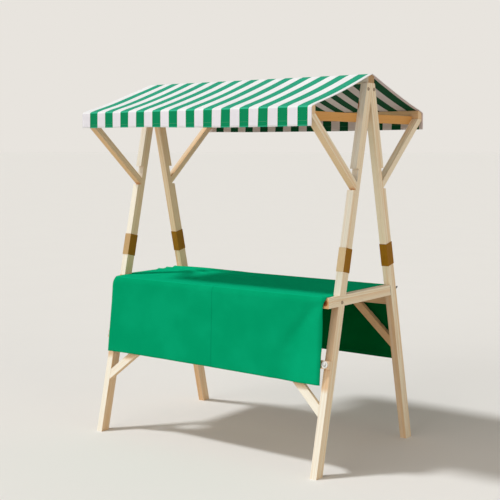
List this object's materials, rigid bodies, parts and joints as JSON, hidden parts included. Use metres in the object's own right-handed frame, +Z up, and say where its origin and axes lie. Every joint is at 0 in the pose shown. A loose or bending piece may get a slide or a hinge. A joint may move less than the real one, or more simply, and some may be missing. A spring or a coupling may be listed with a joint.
{
  "type": "wooden market stall",
  "caption": "Freestanding pine market stall: leaning A-frame ends, a cloth-draped counter and a striped ridge canopy with short valances.",
  "frame": {"origin": "centre of the footprint, on the ground", "axes": "+X along the stall to the right end as a customer sees it, +Y from the customer's side to the seller's side, +Z up"},
  "size_m": [1.518, 1.116, 1.992],
  "materials": {
    "pine": "planed and unpainted, satin",
    "canopy_cloth": "coated canvas in green and white stripes",
    "table_cloth": "plain matt woven cloth",
    "band": "matt brown wrap",
    "steel": "zinc plated"
  },
  "bodies": {
    "root": {"leg_front_left": "pine", "leg_front_right": "pine", "leg_back_left": "pine", "leg_back_right": "pine", "ridge_rail": "pine", "eaves_rail_front": "pine", "eaves_rail_back": "pine", "tie_beam_left": "pine", "tie_beam_right": "pine", "upper_brace_front_left": "pine", "upper_brace_front_right": "pine", "upper_brace_back_left": "pine", "upper_brace_back_right": "pine", "counter_bearer_left": "pine", "counter_bearer_right": "pine", "counter_cleat_left": "pine", "counter_cleat_right": "pine", "counter_boards": "pine", "counter_batten_left": "pine", "counter_batten_right": "pine", "back_rail": "pine", "front_rail": "pine", "knee_brace_front_left": "pine", "knee_brace_front_right": "pine", "knee_brace_back_left": "pine", "knee_brace_back_right": "pine", "leg_band_front_left": "band", "leg_band_front_right": "band", "leg_band_back_left": "band", "leg_band_back_right": "band", "apex_plate_left": "steel", "apex_plate_right": "steel", "apex_bolts": "steel", "bearer_screws": "steel", "wing_bolts": "steel", "rail_bolts": "steel", "canopy": "canopy_cloth", "tablecloth": "table_cloth"}
  },
  "joints": []
}
